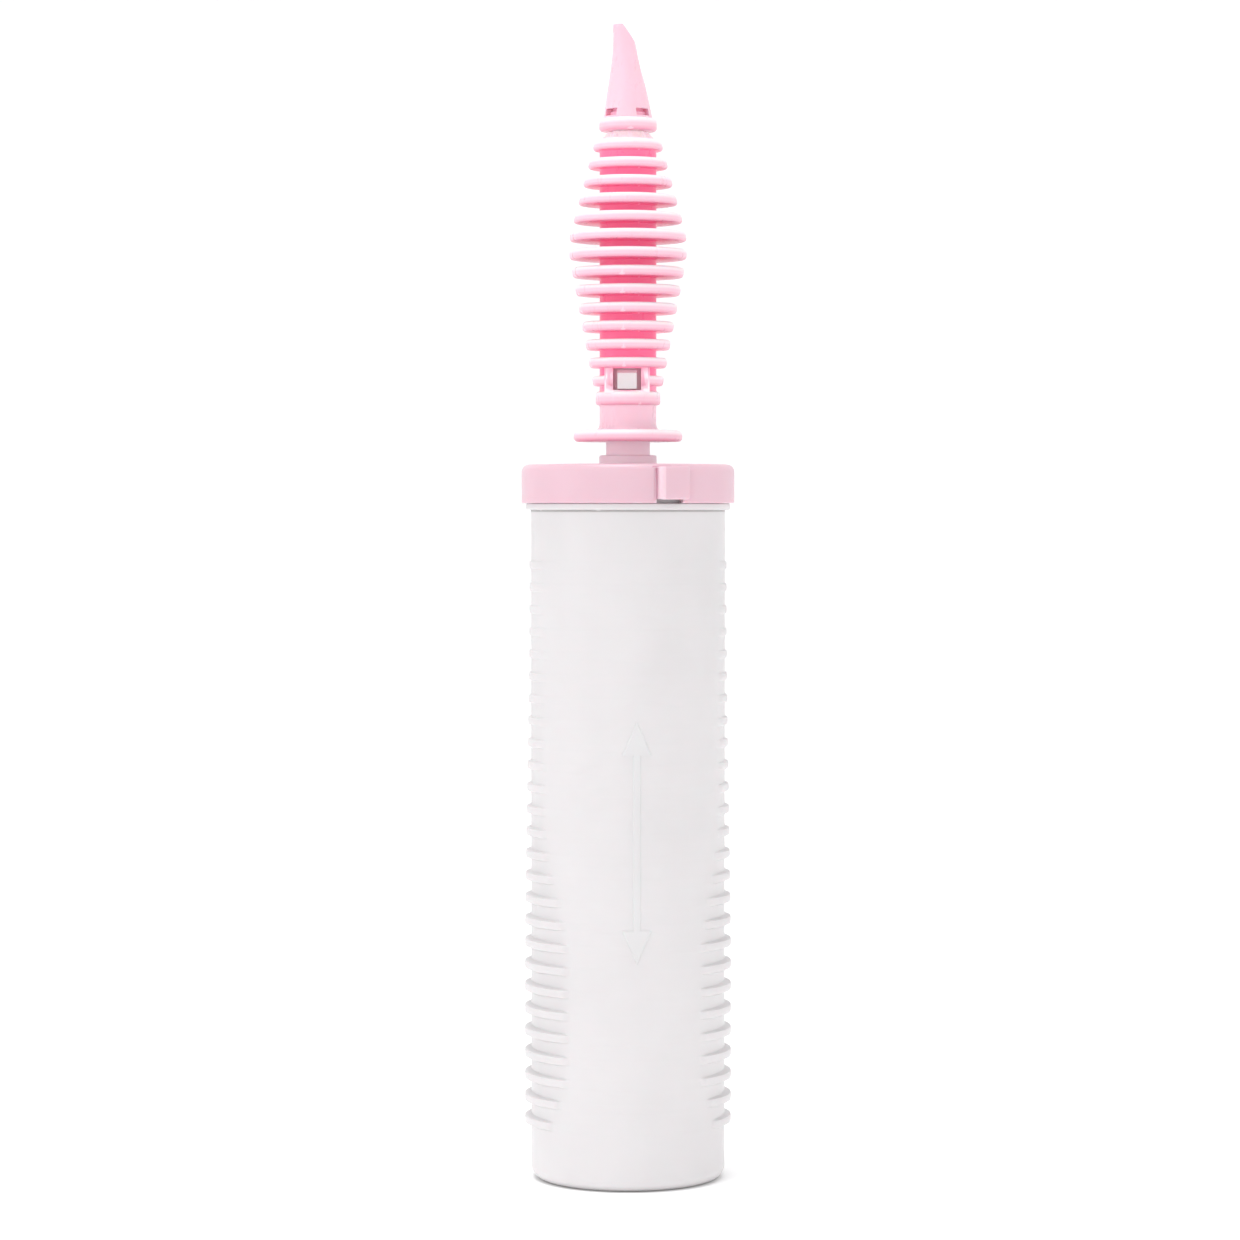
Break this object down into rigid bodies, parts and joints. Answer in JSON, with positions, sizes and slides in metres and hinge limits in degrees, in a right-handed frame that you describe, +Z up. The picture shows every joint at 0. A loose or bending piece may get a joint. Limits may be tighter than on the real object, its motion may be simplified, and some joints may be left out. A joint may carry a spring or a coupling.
{
  "type": "hand air pump",
  "caption": "Double-action hand air pump: ribbed barrel, bayonet cap, sliding hollow rod with finned grip, hand guard and cone nozzle.",
  "frame": {"origin": "centre of the barrel's foot, on the surface it stands on", "axes": "+Z up along the barrel, rod and nozzle; -Y out of the barrel's smooth front; +X to the right"},
  "size_m": [0.0532, 0.0556, 0.2883],
  "materials": {
    "white_shell": "satin moulded",
    "pink_shell": "satin moulded",
    "natural_plastic": "satin",
    "seal_rubber": "matt",
    "silicone": "matt"
  },
  "bodies": {
    "barrel": {"barrel_tube": "white_shell", "base_plug": "white_shell", "base_plug_seal": "seal_rubber", "base_valve_cage": "natural_plastic"},
    "base_valve": {"base_valve_disc": "silicone"},
    "cap": {"cap_shell": "pink_shell", "cap_gasket": "seal_rubber", "gland_retainer": "natural_plastic"},
    "gland": {"gland_ring": "seal_rubber"},
    "piston_ring": {"piston_ring": "seal_rubber"},
    "piston": {"piston_hub": "natural_plastic", "piston_follower": "natural_plastic", "hub_seal_ring": "seal_rubber"},
    "rod": {"rod_foot": "natural_plastic", "rod_clip": "natural_plastic", "pump_rod": "natural_plastic", "rod_head": "natural_plastic", "finned_grip": "pink_shell", "grip_seal_ring": "seal_rubber"},
    "nozzle": {"nozzle_cone": "pink_shell", "nozzle_seal_ring": "seal_rubber"}
  },
  "joints": [
    {"name": "pump_stroke", "type": "slide", "parent": "barrel", "child": "piston_ring", "axis": [0, 0, 1], "range_m": [0, 0.142]},
    {"name": "ring_shuttle", "type": "slide", "parent": "piston_ring", "child": "piston", "axis": [0, 0, 1], "range_m": [0, 0.001]},
    {"name": "rod_spin", "type": "hinge", "parent": "piston", "child": "rod", "pos_m": [0, 0, 0.018], "axis": [0, 0, 1], "continuous": true},
    {"name": "nozzle_spin", "type": "hinge", "parent": "rod", "child": "nozzle", "pos_m": [0, 0, 0.264], "axis": [0, 0, 1], "continuous": true},
    {"name": "cap_twist", "type": "hinge", "parent": "barrel", "child": "cap", "pos_m": [0, 0, 0.173], "axis": [0, 0, 1], "range_deg": [0, 22]},
    {"name": "gland_float", "type": "slide", "parent": "cap", "child": "gland", "axis": [0, 0, 1], "range_m": [0, 0.001]},
    {"name": "base_valve_lift", "type": "slide", "parent": "barrel", "child": "base_valve", "axis": [0, 0, 1], "range_m": [0, 0.0011]}
  ]
}
